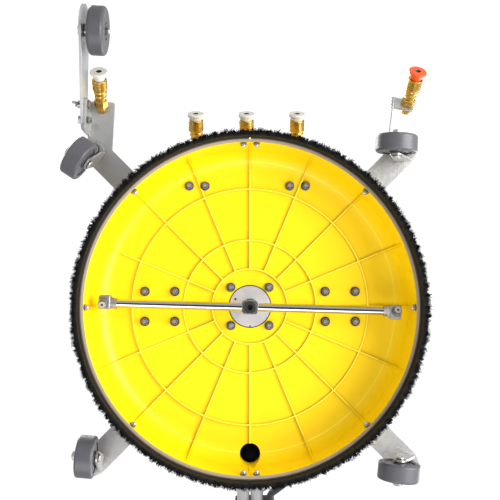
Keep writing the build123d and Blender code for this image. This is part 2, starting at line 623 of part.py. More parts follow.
def guide_axle():
    y, z = GUIDE_AXLE
    x0 = FLANGE_X - 3.2 - GUIDE_ARM_T
    along = Plane(origin=(x0, y, z), z_dir=(1, 0, 0)).location
    wheel_in = GUIDE_WHEEL_X[0] - x0 - 0.3
    wheel_out = GUIDE_WHEEL_X[1] - x0 + 0.3
    pin = rod(AXLE_R, 0, wheel_out + 2) + hexagon(13, -5, 0)
    spacer = rod(9, GUIDE_ARM_T, wheel_in)
    dome = Pos(0, 0, wheel_out + 2.5) * Sphere(4.2) & rod(10, wheel_out + 2, wheel_out + 20)
    return turned(along * (pin + spacer + rod(6.5, wheel_out, wheel_out + 1.2) + hexagon(9, wheel_out, wheel_out + 3) + dome))


def guide_wheel():
    middle = (GUIDE_WHEEL_X[0] + GUIDE_WHEEL_X[1]) / 2
    width = GUIDE_WHEEL_X[1] - GUIDE_WHEEL_X[0]
    place = Plane(origin=(middle, *GUIDE_AXLE), z_dir=(1, 0, 0)).location
    return turned(place * wheel_solid(GUIDE_WHEEL_R, width, 5.0, 13, 11, AXLE_R + FIT))


# ---- rear suction port ----

def suction_elbow():
    centre_z = 146
    ball = Pos(0, 0, centre_z) * Sphere(19)
    lean = Vector(0, cos(radians(20)), sin(radians(20)))
    out = Plane(origin=(0, 0, centre_z), z_dir=lean).location
    body = rod(19, 121, centre_z) + ball + out * (rod(19, 0, 57) + rod(22, 26, 29))
    body = body + rod(SPIGOT_R, 107, 122) + rod(22, PORT_BOSS_TOP, PORT_BOSS_TOP + 3)
    inside = rod(15, 100, centre_z) + Pos(0, 0, centre_z) * Sphere(15) + out * rod(15, 0, 60)
    return Pos(0, PORT_Y, 0) * (body - inside)


# ---- handle ----

handle_plane = Plane(origin=(0, 0, PIVOT_Z), x_dir=(1, 0, 0), z_dir=(0, -sin(radians(HANDLE_TILT)), cos(radians(HANDLE_TILT))))


def handle_brackets():
    brackets = []
    for side in (-1, 1):
        base = block(-33, 33, -33, 33, DECK_TOP_Z, FRAME_TOP_Z)
        base = fillet(base.edges().filter_by(Axis.Z), 6)
        outline = make_hull((Pos(0, PIVOT_Z) * Circle(13)).edges() + (Pos(0, FRAME_TOP_Z) * Rectangle(32, 2)).edges())
        ear = Plane(origin=(EAR_GAP / 2, 0, 0), x_dir=(0, 1, 0), z_dir=(1, 0, 0)).location * extrude(outline, EAR_T)
        body = base + ear + mirror(ear, Plane.YZ)
        body = body - rod_between((-30, 0, PIVOT_Z), (30, 0, PIVOT_Z), 5.1)
        body = cut(body, [Pos(dx, dy, 0) * rod(M6_CLEAR_R, 90, 112) for dx in (-half, half) for dy in (-half, half)])
        brackets.append(Pos(side * BRACKET_X, 0, 0) * body)
    return brackets


def handle_tubes():
    points = [(BRACKET_X, 10), (BRACKET_X, 75), (TWIN_X, 330), (TWIN_X, 935), (52, CROSSBAR_D)]
    path = FilletPolyline(*points, radius=60)
    ring = Circle(TUBE_R) - Circle(TUBE_R - TUBE_WALL)
    right = sweep((path ^ 0) * ring, path=path)
    lug_half = EAR_GAP / 2 - 0.3
    lug = rod_between((BRACKET_X - lug_half, 0, 0), (BRACKET_X + lug_half, 0, 0), TUBE_R)
    lug = lug + rod_between((BRACKET_X, 0, 0), (BRACKET_X, 24, 0), TUBE_R)
    right = right + lug - rod_between((BRACKET_X - 30, 0, 0), (BRACKET_X + 30, 0, 0), 5 + FIT)
    right = right - rod_between((0, CROSSBAR_D, 0), (120, CROSSBAR_D, 0), TUBE_R)
    right = right - block(-50, 120, CROSSBAR_D, CROSSBAR_D + 40, -40, 40)
    return [right, mirror(right, Plane.YZ)]


def crossbar():
    ends = ((-CROSSBAR_HALF + 2, CROSSBAR_D, 0), (CROSSBAR_HALF - 2, CROSSBAR_D, 0))
    return rod_between(*ends, TUBE_R) - rod_between(*ends, TUBE_R - TUBE_WALL)


def grips():
    pieces = []
    for side in (-1, 1):
        x0 = side * 168
        x1 = side * CROSSBAR_HALF
        grip = rod_between((x0, CROSSBAR_D, 0), (x1, CROSSBAR_D, 0), GRIP_R)
        grip = grip + rod_between((x0, CROSSBAR_D, 0), (x0 + side * 5, CROSSBAR_D, 0), GRIP_R + 4)
        grip = grip - rod_between((x0 - side, CROSSBAR_D, 0), (side * (CROSSBAR_HALF - 2), CROSSBAR_D, 0), TUBE_R)
        pieces.append(grip)
    return pieces


def handle_clamps():
    pieces = []
    for d, right in ((352, 30), (608, HOSE_X + 11), (780, 30)):
        bar = block(-30, right, d - 9, d + 9, -16, 16)
        bar = fillet(bar.edges().filter_by(Axis.Y), 6)
        tools = [rod_between((s * TWIN_X, d - 20, 0), (s * TWIN_X, d + 20, 0), TUBE_R) for s in (-1, 1)]
        if right > 35:
            tools.append(rod_between((HOSE_X, d - 20, 0), (HOSE_X, d + 20, 0), HOSE_R))
        pieces.append(cut(bar, tools))
    return pieces


def trigger_gun():
    body = block(GUN_X - 22, GUN_X + 22, CROSSBAR_D - 24, CROSSBAR_D + 20, -21, 21)
    body = fillet(body.edges(), 5)
    body = body - rod_between((0, CROSSBAR_D, 0), (200, CROSSBAR_D, 0), TUBE_R)
    for side in (-1, 1):
        n0, n1 = sorted((side * 8.4, side * 13.5))
        body = body + block(GUN_X + 15, GUN_X + 38, CROSSBAR_D - 38, CROSSBAR_D - 18, n0, n1)
    body = body + rod_between((GUN_X + 30, CROSSBAR_D - 29, -9), (GUN_X + 30, CROSSBAR_D - 29, 9), 3)
    body = body + rod_between((GUN_X - 8, CROSSBAR_D - 60, 0), (GUN_X - 8, CROSSBAR_D - 20, 0), 9.5)
    stub = Pos(GUN_X, CROSSBAR_D + 3, 0) * (rod(INLET_R, -INLET_N, -20) + hexagon(24, -25, -20))
    return body + stub - Pos(GUN_X, CROSSBAR_D + 3, 0) * rod(5, -INLET_N - 1, -14)


def trigger():
    root = (GUN_X + 30, CROSSBAR_D - 29)
    lever = two_circle_plate(root, 7, (GUN_X + 122, CROSSBAR_D - 42), 5, 16)
    return lever - Pos(*root) * rod(3 + FIT, -20, 20)


def handle_hose():
    start = (GUN_X - 8, CROSSBAR_D - 60)
    path = FilletPolyline(start, (start[0], 905), (HOSE_X, 790), (HOSE_X, HOSE_LEAVES_D), radius=75)
    return sweep((path ^ 0) * Circle(HOSE_R), path=path)


# The free hose runs low behind the swivel, swings out to the right under the handle and climbs to the clamp.
HOSE_END = handle_plane.from_local_coords(Vector(HOSE_X, HOSE_LEAVES_D, 0))
HOSE_ROUTE = [
    (0, FERRULE_END_Y, TEE_Z),
    (0, 108, TEE_Z),
    (20, 160, 203),
    (54, 207, 240),
    (82, 250, 302),
    (90, 294, 370),
    (76, 333, 438),
    (52, 368, 503),
    tuple(HOSE_END - handle_plane.y_dir * 45),
    tuple(HOSE_END),
]


def free_hose(route, radius):
    """Straight runs joined by tangent arcs, each as large as its two runs allow."""
    points = [Vector(*p) for p in route]
    radii = []
    for before, corner, after in zip(points, points[1:], points[2:]):
        run_in = corner - before
        run_out = after - corner
        turn = radians(run_in.get_angle(run_out))
        radii.append(0.45 * min(run_in.length, run_out.length) / tan(turn / 2))
    print("free hose arc radii", [round(r) for r in radii])
    path = FilletPolyline(*route, radius=radii)
    hose = sweep((path ^ 0) * Circle(radius), path=path)
    print("free hose length", round(path.length), "volume ratio", round(hose.volume / (3.14159 * radius**2 * path.length), 4))
    return hose


# ---- ball valve for the front nozzles ----

def ball_valve():
    body = chamfer(block(-13, 13, -64, -22, TEE_Z - 13, TEE_Z + 13).edges().filter_by(Axis.Y), 4)
    body = body + Plane(origin=(0, -64, TEE_Z), z_dir=(0, -1, 0)).location * hexagon(17, 0, 8)
    body = body + Pos(0, -43, 0) * rod(8, TEE_Z + 12, TEE_Z + 17)
    return body - rod_between((0, -10, TEE_Z), (0, -70, TEE_Z), 3) - Pos(0, -43, 0) * rod(4 + FIT, TEE_Z + 5, TEE_Z + 30)


def valve_lever():
    stem = Pos(0, -43, 0) * rod(4, TEE_Z + 5.5, TEE_Z + 21)
    plate = two_circle_plate((0, -43), 8, (0, -112), 6, 3)
    grip = two_circle_plate((0, -78), 8.5, (0, -108), 8.5, 8)
    return stem + Pos(0, 0, TEE_Z + 19) * (plate + grip)


# ---- write every node ----

def build():
    """All nodes about the spin axis, before they are moved to the footprint's middle."""
    shaft, hub, plug, tubes, elbows, tips = rotor_parts()
    bolts, nuts = bolt_stacks()
    nodes = {
        "deck_shell": deck_shell(),
        "skirt_holders": leaning_ring(holder_in, holder_out, RIM_Z, HOLDER_TOP_Z),
        "skirt_bristles": skirt_bristles(),
        "skirt_bands": leaning_ring(holder_out, holder_out + BAND_T, RIM_Z + 1, RIM_Z + 12),
        "skirt_fasteners": skirt_fasteners(),
        "caster_frame": caster_frame(),
        "caster_kingpins": kingpins() + spacers(),
        "swivel_housing": swivel_housing(),
        "swivel_cap": swivel_cap(),
        "swivel_bearings": swivel_bearings(),
        "swivel_seal": tube(12, 6.05, SWIVEL_TOP_Z - 2 + 0.2, SWIVEL_TOP_Z + 4),
        "frame_bolts": bolts,
        "frame_nuts": nuts,
        "inlet_tee": inlet_tee(),
        "ball_valve": ball_valve(),
        "valve_lever": valve_lever(),
        "feed_pipe": feed_pipe(),
        "manifold": manifold(),
        "coupler_bodies": [coupler_plane(name).location * coupler_body() for name in COUPLERS] + corner_adapters(),
        "guide_bracket": guide_bracket(),
        "strap_bracket": strap_bracket(),
        "guide_arm": guide_arm(),
        "guide_fasteners": guide_fasteners(),
        "guide_axle": guide_axle(),
        "guide_wheel": guide_wheel(),
        "suction_elbow": suction_elbow(),
        "handle_brackets": handle_brackets(),
        "rotor_shaft": shaft,
        "rotor_hub": hub,
        "hub_plug": plug,
        "spray_tubes": tubes,
        "spray_elbows": elbows,
        "jet_tips": tips,
    }
    insets = {name: 0 if "corner" in name else NOZZLE_INSET for name in COUPLERS}
    nozzles = {name: coupler_plane(name).location * Pos(0, 0, -insets[name]) * coupler_nozzle() for name in COUPLERS}
    nodes["nozzle_red"] = nozzles.pop("corner_right")
    nodes["nozzles_white"] = list(nozzles.values())
    for name in COUPLERS:
        nodes[f"sleeve_{name}"] = coupler_plane(name).location * coupler_sleeve()
    for caster in CASTERS:
        nodes[f"fork_{caster[0]}"] = caster_fork(caster)
        nodes[f"axle_{caster[0]}"] = caster_axle(caster)
        nodes[f"wheel_{caster[0]}"] = caster_wheel(caster)
    flat = {
        "handle_tubes": handle_tubes(),
        "crossbar": crossbar(),
        "grips": grips(),
        "handle_clamps": handle_clamps(),
        "trigger_gun": trigger_gun(),
        "trigger": trigger(),
        "handle_hose": handle_hose(),
    }
    for name, shape in flat.items():
        pieces = shape if isinstance(shape, list) else [shape]
        nodes[name] = [handle_plane.location * piece for piece in pieces]
    nodes["free_hose"] = free_hose(HOSE_ROUTE, HOSE_R)
    return nodes


def solids_of(shape):
    pieces = shape if isinstance(shape, list) else [shape]
    return [solid for piece in pieces for solid in piece.solids()]


def footprint_middle(nodes):
    boxes = [solid.bounding_box() for shape in nodes.values() for solid in solids_of(shape)]
    low = min(box.min.Y for box in boxes)
    high = max(box.max.Y for box in boxes)
    return round((low + high) / 2, 2)


nodes = build()
MIDDLE_Y = footprint_middle(nodes)
print("spin axis stands at y =", -MIDDLE_Y, "nodes", len(nodes))
for name, shape in nodes.items():
    whole = Compound(children=[solid.moved(Location((0, -MIDDLE_Y, 0))) for solid in solids_of(shape)])
    export_step(whole, f"parts/{name}.step")
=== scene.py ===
import math
import random

import bpy
from mathutils import Matrix, Vector


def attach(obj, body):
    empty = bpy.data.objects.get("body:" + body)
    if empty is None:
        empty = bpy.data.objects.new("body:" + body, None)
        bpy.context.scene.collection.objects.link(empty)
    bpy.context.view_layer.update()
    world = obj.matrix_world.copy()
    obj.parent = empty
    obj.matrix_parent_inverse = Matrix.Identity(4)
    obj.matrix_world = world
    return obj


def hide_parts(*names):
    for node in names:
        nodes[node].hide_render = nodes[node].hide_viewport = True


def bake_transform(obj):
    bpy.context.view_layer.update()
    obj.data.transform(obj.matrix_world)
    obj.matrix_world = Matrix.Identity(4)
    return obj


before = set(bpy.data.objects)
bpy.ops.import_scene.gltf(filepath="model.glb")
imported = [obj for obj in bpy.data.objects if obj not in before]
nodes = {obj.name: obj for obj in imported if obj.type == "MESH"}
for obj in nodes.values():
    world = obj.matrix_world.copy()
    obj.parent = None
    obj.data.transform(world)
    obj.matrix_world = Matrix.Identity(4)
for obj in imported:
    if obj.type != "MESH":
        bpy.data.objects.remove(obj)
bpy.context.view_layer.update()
scene = bpy.context.scene

# Spin axis of the spray bar in the row frame, in metres.
HUB_Y = -0.14902


def at(x, y, z):
    """A point given in millimetres about the spin axis, in the row frame in metres."""
    return Vector((x / 1000, y / 1000 + HUB_Y, z / 1000))


# ---- camera: under the machine, looking up into the deck ----
camera_data = bpy.data.cameras.new("camera")
camera = bpy.data.objects.new("camera", camera_data)
scene.collection.objects.link(camera)
camera_data.sensor_width = 36.0
camera_data.lens = 61.9
camera_data.clip_start = 0.01
camera_data.clip_end = 60.0
CAMERA_Z = -1200
CAMERA_TILT = 2.4
camera.location = at(0, -30.6, CAMERA_Z)
tilt = math.radians(CAMERA_TILT)
forward = Vector((0, -math.sin(tilt), math.cos(tilt)))
up = Vector((0, -math.cos(tilt), -math.sin(tilt)))
right = forward.cross(up)
camera.rotation_mode = "QUATERNION"
camera.rotation_quaternion = Matrix((right, up, -forward)).transposed().to_quaternion()
scene.camera = camera
scene.view_settings.view_transform = "Standard"


# ---- mesh helpers ----
def add_mesh(name, verts, faces, material, smooth=True):
    mesh = bpy.data.meshes.new(name)
    mesh.from_pydata([tuple(v) for v in verts], [], faces)
    mesh.update()
    if smooth:
        mesh.shade_smooth()
    obj = bpy.data.objects.new(name, mesh)
    scene.collection.objects.link(obj)
    mesh.materials.append(material)
    return obj


def basis(axis):
    """Two unit vectors square to the axis and to each other."""
    side = Vector((1, 0, 0)) if abs(axis.x) < 0.9 else Vector((0, 1, 0))
    u = (side - axis * side.dot(axis)).normalized()
    return u, axis.cross(u)


def lathe(name, origin, axis, profile, material, steps=64, shape=None):
    """Turned piece: profile is (radius, distance along the axis) in millimetres, closed on itself."""
    axis = axis.normalized()
    u, v = basis(axis)
    verts = []
    count = len(profile)
    for i in range(steps):
        angle = 2 * math.pi * i / steps
        for r, s in profile:
            radius = r + (shape(angle, r, s) if shape else 0.0)
            outward = u * math.cos(angle) + v * math.sin(angle)
            verts.append(origin + outward * radius / 1000 + axis * s / 1000)
    faces = []
    for i in range(steps):
        a = i * count
        b = (i + 1) % steps * count
        for j in range(count):
            k = (j + 1) % count
            faces.append((a + j, b + j, b + k, a + k))
    return add_mesh(name, verts, faces, material)


# ---- materials ----
def new_material(name):
    material = bpy.data.materials.new(name)
    material.use_nodes = True
    tree = material.node_tree
    return material, tree, tree.nodes["Principled BSDF"]


def noise(tree, coords, scale, detail=4.0, rough=0.55):
    node = tree.nodes.new("ShaderNodeTexNoise")
    node.inputs["Scale"].default_value = scale
    node.inputs["Detail"].default_value = detail
    node.inputs["Roughness"].default_value = rough
    tree.links.new(coords, node.inputs["Vector"])
    return node.outputs["Fac"]


def ramp(tree, value, stops):
    """Colour or grey ramp: stops are (position, value) with a number or a colour."""
    node = tree.nodes.new("ShaderNodeValToRGB")
    elements = node.color_ramp.elements
    while len(elements) < len(stops):
        elements.new(0.5)
    for element, (position, colour) in zip(elements, stops):
        element.position = position
        grey = isinstance(colour, (int, float))
        element.color = (colour, colour, colour, 1) if grey else (*colour, 1)
    tree.links.new(value, node.inputs["Fac"])
    return node.outputs["Color"]


def bump(tree, height, strength, distance, normal):
    node = tree.nodes.new("ShaderNodeBump")
    node.inputs["Strength"].default_value = strength
    node.inputs["Distance"].default_value = distance
    tree.links.new(height, node.inputs["Height"])
    tree.links.new(normal, node.inputs["Normal"])
    return node.outputs["Normal"]


def shade(colour, gain):
    return tuple(min(1.0, c * gain) for c in colour)


def tinted(tree, base, factor, colour):
    """The base colour changed to a fixed colour where the factor is one."""
    mix = tree.nodes.new("ShaderNodeMix")
    mix.data_type = "RGBA"
    tree.links.new(factor, mix.inputs["Factor"])
    tree.links.new(base, mix.inputs[6])
    mix.inputs[7].default_value = (*colour, 1)
    return mix.outputs[2]


def height_mask(tree, coords, low, high):
    """One between two heights, zero elsewhere."""
    split = tree.nodes.new("ShaderNodeSeparateXYZ")
    tree.links.new(coords, split.inputs["Vector"])
    node = tree.nodes.new("ShaderNodeMath")
    node.operation = "COMPARE"
    tree.links.new(split.outputs["Z"], node.inputs[0])
    node.inputs[1].default_value = (low + high) / 2
    node.inputs[2].default_value = (high - low) / 2
    return node.outputs["Value"]


def painted_corner_shade(tree, base, reach, gain, low=0.45, high=0.92):
    """Painted shade: darker colour in corners and round the feet of nuts and ribs."""
    corner = tree.nodes.new("ShaderNodeAmbientOcclusion")
    corner.samples = 6
    corner.inputs["Distance"].default_value = reach
    shadow = ramp(tree, corner.outputs["AO"], [(low, gain), (high, 1.0)])
    mix = tree.nodes.new("ShaderNodeMix")
    mix.data_type = "RGBA"
    mix.blend_type = "MULTIPLY"
    mix.inputs["Factor"].default_value = 1.0
    tree.links.new(base, mix.inputs[6])
    tree.links.new(shadow, mix.inputs[7])
    return mix.outputs[2]


def surface(name, colour, rough, metal=0.0, vary=0.08, patch=14.0, grain=500.0, relief=0.00006, spread=0.08,
            dust=None, edge=0.0004, strength=0.35, sheen=0.5, crevice=None, layers=()):
    """Plain material with slow colour patches, fine grain in the relief and an uneven gloss.

    dust is (colour, scale, threshold, amount). crevice is (reach, colour gain) for painted shade in tight
    corners, and may also give the ramp's two ends. layers are (low z, high z, colour) for faces at known
    heights in metres.
    """
    material, tree, shader = new_material(name)
    coords = tree.nodes.new("ShaderNodeTexCoord").outputs["Object"]
    patches = noise(tree, coords, patch, 5.0, 0.6)
    tint = ramp(tree, patches, [(0.3, shade(colour, 1 - vary)), (0.7, shade(colour, 1 + vary))])
    if dust:
        dust_colour, scale, threshold, amount = dust
        specks = noise(tree, coords, scale, 8.0, 0.7)
        marks = ramp(tree, specks, [(threshold, 0.0), (threshold + 0.16, amount)])
        tint = tinted(tree, tint, marks, dust_colour)
    for low, high, face_colour in layers:
        tint = tinted(tree, tint, height_mask(tree, coords, low, high), face_colour)
    # Painted shade in tight corners.
    if crevice:
        tint = painted_corner_shade(tree, tint, *crevice)
    tree.links.new(tint, shader.inputs["Base Color"])
    fine = noise(tree, coords, grain, 3.0, 0.5)
    gloss = ramp(tree, fine, [(0.3, max(0.02, rough - spread)), (0.7, rough + spread)])
    tree.links.new(gloss, shader.inputs["Roughness"])
    rounded = tree.nodes.new("ShaderNodeBevel")
    rounded.samples = 4
    rounded.inputs["Radius"].default_value = edge
    tree.links.new(bump(tree, fine, strength, relief, rounded.outputs["Normal"]), shader.inputs["Normal"])
    shader.inputs["Metallic"].default_value = metal
    shader.inputs["Specular IOR Level"].default_value = sheen
    return material


# Heights in metres of faces that look down: the deck's rim, with the skirt holder beside it, and its ribs,
# raised pads and ceiling.
RIM_Z = 0.022
RIBS_Z = 0.094
PADS_Z = 0.0955
CEILING_Z = 0.098
RIM_FACE = (RIM_Z - 0.0005, RIM_Z + 0.0015)
HOLDER_FACE = (RIM_Z - 0.0005, RIM_Z + 0.0020)
# The ribs' lower faces are painted a paler yellow as a highlight.
RIB_HIGHLIGHT = (RIBS_Z - 0.0004, RIBS_Z + 0.0004)
# A nut's hexagon ends 5.8 mm under its seat, and the floor inside its collar is 6.4 mm under it. The first
# band takes in the whole hexagon of a nut on the ceiling and the washers on the pads.
NUT_FACES = [
    (CEILING_Z - 0.0059, CEILING_Z - 0.0017), (CEILING_Z - 0.0066, CEILING_Z - 0.0062),
    (PADS_Z - 0.0060, PADS_Z - 0.00525), (PADS_Z - 0.0066, PADS_Z - 0.0062),
]
NUT_SHADOW = (0.21, 0.20, 0.18)
# Painted shade round nuts and bolts: reach, a brownish dark and the ramp's two ends.
CORNER_SHADE = (0.004, (0.05, 0.04, 0.03), 0.62, 0.98)

# crevice paints shade into the tight corners of the yellow, zinc, aluminium, cast steel and brass.
yellow = surface("yellow_moulding", (0.93, 0.66, 0.004), 0.36, vary=0.03, patch=5.0, grain=260.0,
                 relief=0.00012, dust=((0.80, 0.42, 0.01), 45.0, 0.64, 0.15), sheen=0.25, edge=0.0008,
                 crevice=(0.003, (0.74, 0.80, 1.0)),
                 layers=[(*RIM_FACE, (0.45, 0.36, 0.24)), (*RIB_HIGHLIGHT, (1.0, 0.80, 0.05))])
black_plastic = surface("black_moulding", (0.018, 0.018, 0.019), 0.45, vary=0.25, grain=900.0,
                        dust=((0.09, 0.085, 0.08), 60.0, 0.58, 0.35))
bristle_black = surface("black_nylon", (0.010, 0.009, 0.009), 0.60, vary=0.4, patch=160.0, grain=1500.0,
                        sheen=0.12)
holder_black = surface("black_holder", (0.012, 0.012, 0.013), 0.55, vary=0.3, grain=900.0, sheen=0.2,
                       layers=[(*HOLDER_FACE, (0.10, 0.095, 0.09))])
rubber = surface("black_rubber", (0.020, 0.020, 0.022), 0.55, vary=0.3, grain=1300.0, relief=0.00012,
                 dust=((0.10, 0.10, 0.10), 80.0, 0.6, 0.3))
tyre = surface("grey_tyre", (0.080, 0.078, 0.088), 0.40, vary=0.10, patch=40.0, grain=900.0, relief=0.00015,
               dust=((0.06, 0.058, 0.06), 95.0, 0.56, 0.45), edge=0.0008)
silver = surface("satin_bar", (0.56, 0.555, 0.55), 0.36, metal=0.75, vary=0.07, patch=22.0, grain=350.0,
                 dust=((0.38, 0.37, 0.36), 70.0, 0.60, 0.45), edge=0.0006)
zinc = surface("bright_zinc", (0.52, 0.50, 0.485), 0.30, metal=0.7, vary=0.14, patch=120.0, grain=900.0,
               spread=0.12, dust=((0.42, 0.36, 0.28), 160.0, 0.60, 0.5), crevice=CORNER_SHADE)
nut_zinc = surface("zinc_nuts", (0.74, 0.71, 0.71), 0.32, metal=0.6, vary=0.14, patch=120.0, grain=900.0,
                   spread=0.12, crevice=CORNER_SHADE, layers=[(*face, NUT_SHADOW) for face in NUT_FACES])
aluminium = surface("turned_aluminium", (0.74, 0.72, 0.74), 0.38, metal=0.6, vary=0.06, patch=60.0,
                    grain=700.0, crevice=(0.004, (0.05, 0.05, 0.05)))
chrome = surface("chrome_tube", (0.52, 0.51, 0.50), 0.12, metal=1.0, vary=0.05, patch=20.0, grain=420.0,
                 spread=0.05, relief=0.00002)
cast = surface("cast_stainless", (0.36, 0.35, 0.34), 0.42, metal=0.8, vary=0.14, patch=90.0, grain=620.0,
               spread=0.12, relief=0.0006, strength=0.8, crevice=(0.003, (0.2, 0.19, 0.18)))
steel = surface("satin_steel", (0.60, 0.60, 0.59), 0.28, metal=1.0, vary=0.07, patch=50.0, grain=800.0)
brass = surface("machined_brass", (0.70, 0.43, 0.10), 0.30, metal=1.0, vary=0.12, patch=110.0, grain=900.0,
                dust=((0.45, 0.25, 0.06), 150.0, 0.58, 0.5), edge=0.0003,
                crevice=(0.002, (0.30, 0.22, 0.12)))
white = surface("white_moulding", (0.66, 0.63, 0.55), 0.34, vary=0.05, patch=70.0, grain=900.0,
                dust=((0.52, 0.48, 0.42), 130.0, 0.62, 0.4), edge=0.0005)
red = surface("orange_red_moulding", (0.86, 0.09, 0.012), 0.32, vary=0.08, patch=70.0, grain=900.0,
              dust=((0.45, 0.05, 0.02), 120.0, 0.62, 0.4), edge=0.0005)
# Near-black painted shade for the inside of holes and gaps: the hub's plug, the nozzles' bores and the gap
# round the swivel.
dark = surface("painted_hole_shade", (0.012, 0.012, 0.013), 0.5, vary=0.3, patch=120.0, grain=900.0)
grey = surface("grey_moulding", (0.10, 0.10, 0.105), 0.42, vary=0.12, patch=50.0, grain=1200.0)

finishes = {
    yellow: ["deck_shell"],
    holder_black: ["skirt_holders", "skirt_bands"],
    black_plastic: ["suction_elbow", "handle_clamps", "trigger"],
    rubber: ["swivel_seal", "handle_hose"],
    silver: ["caster_frame", "guide_bracket", "strap_bracket", "guide_arm", "handle_brackets", "handle_tubes",
             "crossbar"],
    zinc: ["skirt_fasteners", "caster_kingpins", "frame_bolts", "guide_fasteners", "guide_axle"],
    nut_zinc: ["frame_nuts"],
    aluminium: ["swivel_housing", "swivel_cap"],
    chrome: ["spray_tubes", "swivel_bearings"],
    cast: ["spray_elbows", "jet_tips"],
    steel: ["inlet_tee", "ball_valve", "feed_pipe", "manifold", "rotor_shaft", "rotor_hub"],
    brass: ["coupler_bodies"],
    white: ["nozzles_white"],
    red: ["nozzle_red", "valve_lever"],
    dark: ["hub_plug"],
    grey: ["trigger_gun"],
    tyre: ["guide_wheel"],
}
corners = ("front_left", "front_right", "rear_left", "rear_right")
finishes[zinc] += [f"{part}_{corner}" for part in ("fork", "axle") for corner in corners]
finishes[tyre] += [f"wheel_{corner}" for corner in corners]
for material, names in finishes.items():
    for name in names:
        mesh = nodes[name].data
        mesh.materials.clear()
        mesh.materials.append(material)

# ---- free hose from the swivel's tee up to the handle ----
HOSE = [
    at(0, 58, 192), at(0, 108, 192), at(20, 160, 203), at(54, 207, 240), at(82, 250, 302),
    at(90, 294, 370), at(76, 333, 438), at(52, 368, 503), at(38, 388.7, 547.9), at(38, 419.4, 580.8),
]
route = bpy.data.curves.new("hose_route", "CURVE")
route.dimensions = "3D"
route.resolution_u = 16
spline = route.splines.new("NURBS")
spline.points.add(len(HOSE) - 1)
for point, place in zip(spline.points, HOSE):
    point.co = (*place, 1)
spline.order_u = 3
spline.use_endpoint_u = True
route_obj = bpy.data.objects.new("hose_route", route)
scene.collection.objects.link(route_obj)
bpy.context.view_layer.update()
line_mesh = bpy.data.meshes.new_from_object(route_obj)
hose_line = [v.co.copy() for v in line_mesh.vertices]
bpy.data.objects.remove(route_obj)


def pipe(name, line, radius, material, sides=24):
    """Round tube with closed ends that follows a line of points."""
    verts = []
    faces = []
    last = len(line) - 1
    tangents = [(line[min(i + 1, last)] - line[max(i - 1, 0)]).normalized() for i in range(last + 1)]
    side, _ = basis(tangents[0])
    for point, tangent in zip(line, tangents):
        side = (side - tangent * side.dot(tangent)).normalized()
        other = tangent.cross(side)
        for j in range(sides):
            angle = 2 * math.pi * j / sides
            verts.append(point + (side * math.cos(angle) + other * math.sin(angle)) * radius)
    for i in range(len(line) - 1):
        for j in range(sides):
            k = (j + 1) % sides
            faces.append((i * sides + j, i * sides + k, (i + 1) * sides + k, (i + 1) * sides + j))
    faces.append(tuple(reversed(range(sides))))
    faces.append(tuple(range(len(verts) - sides, len(verts))))
    return add_mesh(name, verts, faces, material)


HOSE_RADIUS = 0.007
hose = pipe("hose", hose_line, HOSE_RADIUS, rubber)
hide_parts("free_hose")
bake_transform(hose)

# ---- brush skirt: a dense core with single bristles standing out of it, in millimetres ----
random.seed(11)
HALF_GAP = 0.6
SKIRT_R = 245.0
SKIRT_TOP_Z = 21.8
BRISTLES = 11000


def hoop_angles(count, side, radius):
    """Angles along one half hoop, keeping clear of the gaps at the front and rear."""
    margin = HALF_GAP / radius
    turn = math.pi if side < 0 else 0
    for i in range(count):
        yield -math.pi / 2 + margin + (math.pi - 2 * margin) * i / (count - 1) + turn


def skirt_core(name, side):
    """Closed half ring inside the bristles, uneven along its outer lower edge."""
    profile = [(243.0, 3.5), (248.8, 3.5), (246.9, SKIRT_TOP_Z), (242.6, SKIRT_TOP_Z)]
    count = 240
    verts = []
    for angle in hoop_angles(count, side, SKIRT_R):
        wobble = 0.5 * math.sin(angle * 97) + random.uniform(-0.5, 0.5)
        for index, (r, z) in enumerate(profile):
            reach = r + (wobble if index == 1 else 0.0)
            verts.append(at(reach * math.cos(angle), reach * math.sin(angle), z))
    faces = []
    for i in range(count - 1):
        a = i * 4
        for j in range(4):
            k = (j + 1) % 4
            faces.append((a + j, a + 4 + j, a + 4 + k, a + k))
    faces += [(3, 2, 1, 0), tuple(range(len(verts) - 4, len(verts)))]
    return add_mesh(name, verts, faces, bristle_black, smooth=False)


def strands(name, side, count):
    """Bristles as thin three-sided spikes, rooted in the holder and flaring outwards to the floor.

    Each clump gives its bristles the same extra reach and the same sway along the hoop.
    """
    verts = []
    faces = []
    clumps = [(random.random() ** 1.6, random.gauss(0, 0.010)) for _ in range(420)]
    for angle in hoop_angles(count, side, SKIRT_R):
        reach, sway = clumps[int(angle * 170 + 2.5 * math.sin(angle * 41)) % len(clumps)]
        angle += random.uniform(-0.006, 0.006)
        depth = random.random()
        root_r = 242.8 + 4.0 * depth
        tip_r = 244.5 + 6.2 * depth + random.uniform(-0.8, 1.4) + 4.6 * reach * depth
        lean = angle + sway + random.gauss(0, 0.006)
        tip_z = 1.6 + random.random() ** 2 * 5.0
        root = at(root_r * math.cos(angle), root_r * math.sin(angle), SKIRT_TOP_Z)
        middle_r = root_r + (tip_r - root_r) * 0.38
        middle = at(middle_r * math.cos(angle), middle_r * math.sin(angle), 12.5)
        tip = at(tip_r * math.cos(lean), tip_r * math.sin(lean), tip_z)
        out = Vector((math.cos(angle), math.sin(angle), 0))
        along = Vector((-math.sin(angle), math.cos(angle), 0))
        width = random.uniform(0.00032, 0.00055)
        start = len(verts)
        for point, scale in ((root, 1.0), (middle, 0.95), (tip, 0.6)):
            verts.append(point + out * width * scale)
            verts.append(point - out * width * 0.5 * scale + along * width * 0.87 * scale)
            verts.append(point - out * width * 0.5 * scale - along * width * 0.87 * scale)
        for level in (0, 3):
            for j in range(3):
                k = (j + 1) % 3
                a = start + level
                faces.append((a + j, a + 3 + j, a + 3 + k, a + k))
        faces.append((start + 6, start + 8, start + 7))
    return add_mesh(name, verts, faces, bristle_black, smooth=False)


